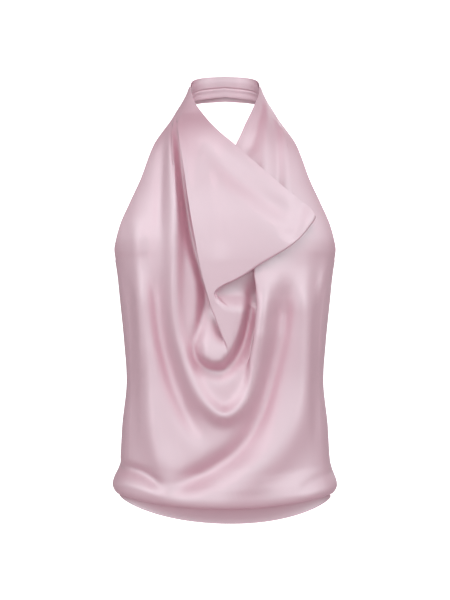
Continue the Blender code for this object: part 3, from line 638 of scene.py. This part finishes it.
def hemGrid():
    level = np.linspace(0, 1, hemBand["rows"] + 1)[:, None]
    angle = np.linspace(0, wholeTurn, hemBand["columns"], endpoint=False)[None, :]
    cos, sin = np.cos(angle), np.sin(angle)
    # it leans in as it leaves the roll, and flares out at the sides to follow the roll's outline
    lean = hemBand["leanIn"] * ease(level, hemBand["leanFrom"], 1)
    x = (hemBand["halfWidth"] + hemBand["sideFlare"] * level**3) * sin
    y = depthRound(cos, hemBand["sideDepth"], hemBand["front"] + lean, hemBand["back"] - lean)
    top = hemBand["top"] - front["hemDip"][0] * cos ** 2
    bottom = (hemBand["sideBottom"] - hemBand["dip"] * np.abs(cos) ** hemBand["dipCurve"]
              - hemBand["rightSag"] * ease(sin, *hemBand["sagAcross"]))
    z = top + (bottom - top) * level
    return np.stack((x, y, z), axis=-1)


hemPiece = shellFrom("hemBandStrip", hemGrid(), hemBand["wall"], closed=True)
print("hem band made")


# Neckband and the facing turned in at its top

neck = {
    "wall": 0.7, "columns": 150, "rows": 16, "back": 70.6, "lean": 0.12, "facingInset": 2.4,
    # the band leaves the straps and settles to its own width and lean on the way round
    "topCentre": 19, "halfWidth": 54.0, "settlesBy": 0.5, "slim": 2.2, "slimFrom": 0.1,
    "tuckIn": 0.8, "lapUnder": 5.0, "facingTrim": 3.0, "nearby": 0.01,
    # down the facing, 0 at the top and 1 at its edge: its seam, its rolled edge, its meeting with the band
    "facingRows": 40, "seamPlace": 0.56, "seamSpread": 0.035, "seamDepth": 0.9,
    "edgeRoll": 1.5, "rollSpan": (0.72, 0.97), "topMeets": 0.85, "meetSpan": 0.3,
    # turn (0 at the side of the neck, 1 at centre back), top, bottom, bottom of the facing
    "heights": np.array([
        (0.0, -8, -38, -31), (0.12, -3, -37, -29), (0.26, 3.5, -32, -25), (0.34, 7.8, -29, -23),
        (0.5, 13, -25.5, -19.5), (0.71, 16.8, -22, -16), (1.0, 19, -19.5, -12.5)]),
}


def neckPoints(part, z, trim):
    around = 1 - np.abs(2 * part - 1)
    halfWidth, side, depth, seamX = sectionAt(np.maximum(front["start"], -z))[1:]
    start = np.arcsin(np.minimum(almostOne, seamX / halfWidth)) + trim / halfWidth
    halfWidth = halfWidth - neck["slim"] * (1 - ease(around, neck["slimFrom"], neck["settlesBy"]))
    settled = ease(around, 0.0, neck["settlesBy"])
    outward = neck["lean"] * (neck["topCentre"] - z)
    halfWidth = halfWidth * (1 - settled) + (neck["halfWidth"] + outward) * settled
    behind = neck["back"] + outward
    angle = start + (wholeTurn - 2 * start) * part
    cos = np.cos(angle)
    y = depthRound(cos, side, depth, behind)
    return np.stack((halfWidth * np.sin(angle), y, z), axis=-1)


def neckGrid(facing):
    # the band, or the facing inside it
    rows = neck["facingRows"] if facing else neck["rows"]
    trim = neck["facingTrim"] if facing else -neck["lapUnder"]
    inset = neck["facingInset"] if facing else neck["tuckIn"]
    part = np.linspace(0, 1, neck["columns"] + 1)[None, :] * np.ones((rows + 1, 1))
    around = 1 - np.abs(2 * part - 1)
    top = readTable(neck["heights"], 1, around)
    bottom = readTable(neck["heights"], 3 if facing else 2, around)
    down = np.linspace(0, 1, rows + 1)[:, None]
    z = top + (bottom - top) * down
    points = neckPoints(part, z, trim)
    near = neck["nearby"]
    along = neckPoints(np.minimum(1, part + near), z, trim) - neckPoints(np.maximum(0, part - near), z, trim)
    along /= np.linalg.norm(along, axis=-1)[..., None]
    inward = np.stack((-along[..., 1], along[..., 0], np.zeros(z.shape)), axis=-1)
    if facing:
        seam = neck["seamDepth"] * np.exp(-((down - neck["seamPlace"]) / neck["seamSpread"]) ** 2)
        rolled = neck["edgeRoll"] * ease(down, *neck["rollSpan"])
        meets = neck["topMeets"] * (1 - ease(down, 0.0, neck["meetSpan"]))
        inset = inset + (rolled - meets - seam)[..., None]
    return points + inward * inset


bandPiece = shellFrom("neckbandOuter", neckGrid(facing=False), neck["wall"])
facingPiece = shellFrom("neckbandInside", neckGrid(facing=True), neck["wall"])
print("neckband made")


# Satin

satin = {
    "colour": (0.64, 0.25, 0.345, 1.0),
    "shade": (0.60, 0.21, 0.30, 1.0),
    "sheenTint": (0.78, 1.0, 1.0, 1.0),
    "roughness": 0.66, "gloss": 2.5,
    # the dye is very slightly uneven, in clouds
    "cloudScale": 9.0, "cloudDetail": 3.0, "cloudFrom": 0.35, "cloudTo": 0.75, "cloudShare": 0.35,
    # the fine warp floats, and the slubs between them
    "weave": 2600.0, "weaveWander": 2.0, "slubs": 420.0, "weaveDepth": 0.06, "weaveHeight": 0.0003,
}


def makeSatin(name):
    material = bpy.data.materials.new(name)
    material.use_nodes = True
    nodes, links = material.node_tree.nodes, material.node_tree.links
    shader = nodes["Principled BSDF"]
    place = nodes.new("ShaderNodeTexCoord")
    cloud = nodes.new("ShaderNodeTexNoise")
    cloud.inputs["Scale"].default_value = satin["cloudScale"]
    cloud.inputs["Detail"].default_value = satin["cloudDetail"]
    mix = nodes.new("ShaderNodeMix")
    mix.data_type = "RGBA"
    mix.inputs["A"].default_value = satin["colour"]
    mix.inputs["B"].default_value = satin["shade"]
    links.new(place.outputs["Object"], cloud.inputs["Vector"])
    spread = nodes.new("ShaderNodeMapRange")
    spread.inputs["From Min"].default_value = satin["cloudFrom"]
    spread.inputs["From Max"].default_value = satin["cloudTo"]
    spread.inputs["To Max"].default_value = satin["cloudShare"]
    links.new(cloud.outputs["Fac"], spread.inputs["Value"])
    links.new(spread.outputs["Result"], mix.inputs["Factor"])
    links.new(mix.outputs["Result"], shader.inputs["Base Color"])
    warp = nodes.new("ShaderNodeTexWave")
    warp.inputs["Scale"].default_value = satin["weave"]
    warp.inputs["Distortion"].default_value = satin["weaveWander"]
    links.new(place.outputs["Object"], warp.inputs["Vector"])
    slub = nodes.new("ShaderNodeTexNoise")
    slub.inputs["Scale"].default_value = satin["slubs"]
    links.new(place.outputs["Object"], slub.inputs["Vector"])
    both = nodes.new("ShaderNodeMath")
    both.operation = "ADD"
    links.new(warp.outputs["Fac"], both.inputs[0])
    links.new(slub.outputs["Fac"], both.inputs[1])
    bump = nodes.new("ShaderNodeBump")
    bump.inputs["Strength"].default_value = satin["weaveDepth"]
    bump.inputs["Distance"].default_value = satin["weaveHeight"]
    links.new(both.outputs["Value"], bump.inputs["Height"])
    links.new(bump.outputs["Normal"], shader.inputs["Normal"])
    shader.inputs["Roughness"].default_value = satin["roughness"]
    shader.inputs["IOR"].default_value = satin["gloss"]
    shader.inputs["Specular Tint"].default_value = satin["sheenTint"]
    return material


pinkSatin = makeSatin("pinkSatin")
for piece, node in ((frontPiece, "front"), (backPiece, "back"), (hemPiece, "hem_band"),
                    (bandPiece, "neckband"), (facingPiece, "neckband_facing")):
    piece.data.materials.append(pinkSatin)
    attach(piece, "root")
    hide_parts(node)
print("satin on")


# Studio: pale floor, pale wall behind, a weak soft light above and broad ones for the sheen

studio = {
    "floorHeight": -1.42, "floorReach": 9, "wallDepth": 4.1, "wallReach": 5, "wallTop": 4,
    "paper": (0.9, 0.9, 0.9, 1), "paperRoughness": 0.9, "wallGlow": 1.0, "worldGrey": 0.58,
    "aim": (0.0, -0.07, -0.30),
    # name, place, size, power
    "softLight": ("softTop", (0.3, -2.2, 2.0), 1.2, 26),
    "sheens": [
        ("sheenFront", (-0.2, -3.15, 0.5), 3.0, 120),
        ("sheenBehind", (0.7, 2.7, 1.1), 2.2, 105),
        ("sheenLeft", (-2.7, -1.5, 0.7), 2.2, 135),
        ("sheenRight", (2.7, -1.5, 0.7), 2.2, 140),
    ],
}


def makeCard(name, corners, glow=0.0):
    mesh = bpy.data.meshes.new(name)
    mesh.from_pydata(corners, [], [(0, 1, 2, 3)])
    card = bpy.data.objects.new(name, mesh)
    bpy.context.scene.collection.objects.link(card)
    material = bpy.data.materials.new(name + "Paint")
    material.use_nodes = True
    shader = material.node_tree.nodes["Principled BSDF"]
    shader.inputs["Base Color"].default_value = studio["paper"]
    shader.inputs["Roughness"].default_value = studio["paperRoughness"]
    if glow:
        shader.inputs["Emission Color"].default_value = (1, 1, 1, 1)
        shader.inputs["Emission Strength"].default_value = glow
    mesh.materials.append(material)
    return card


def makeLight(name, place, size, power):
    data = bpy.data.lights.new(name, "AREA")
    data.size = size
    data.energy = power
    light = bpy.data.objects.new(name, data)
    bpy.context.scene.collection.objects.link(light)
    light.location = place
    away = np.array(studio["aim"]) - np.array(place)
    light.rotation_euler = (math.atan2(math.hypot(away[0], away[1]), -away[2]), 0,
                            math.atan2(away[1], away[0]) - math.pi / 2)
    return light


floorZ, far = studio["floorHeight"], studio["floorReach"]
makeCard("studioFloor", [(-far, -far, floorZ), (far, -far, floorZ), (far, far, floorZ), (-far, far, floorZ)])
wallY, wide, wallTop = studio["wallDepth"], studio["wallReach"], studio["wallTop"]
wall = makeCard("studioWall", [(-wide, wallY, floorZ), (wide, wallY, floorZ),
                               (wide, wallY, wallTop), (-wide, wallY, wallTop)], studio["wallGlow"])
wall.visible_diffuse = False
wall.visible_glossy = False
makeLight(*studio["softLight"])
for sheenLight in studio["sheens"]:
    sheen = makeLight(*sheenLight)
    sheen.visible_diffuse = False       # these only pick out the sheen of the cloth
    sheen.visible_camera = False

world = bpy.data.worlds.new("studioAir")
bpy.context.scene.world = world
world.use_nodes = True
grey = studio["worldGrey"]
world.node_tree.nodes["Background"].inputs["Color"].default_value = (grey, grey, grey, 1)
world.cycles_visibility.glossy = False

# the photo is 900 mm tall at the torso, seen level from 3 m
photoView = {"sensor": 24.0, "lens": 80.0, "away": 3000, "height": -0.324}
camera = bpy.data.cameras.new("photoCamera")
camera.sensor_fit = "VERTICAL"
camera.sensor_height = photoView["sensor"]
camera.lens = photoView["lens"]
viewer = bpy.data.objects.new("photoCamera", camera)
bpy.context.scene.collection.objects.link(viewer)
viewer.location = (0.0, (torsoDepth - photoView["away"]) * mm, photoView["height"])
viewer.rotation_euler = (math.pi / 2, 0, 0)
bpy.context.scene.camera = viewer
bpy.context.scene.view_settings.view_transform = "Standard"
print("studio set")
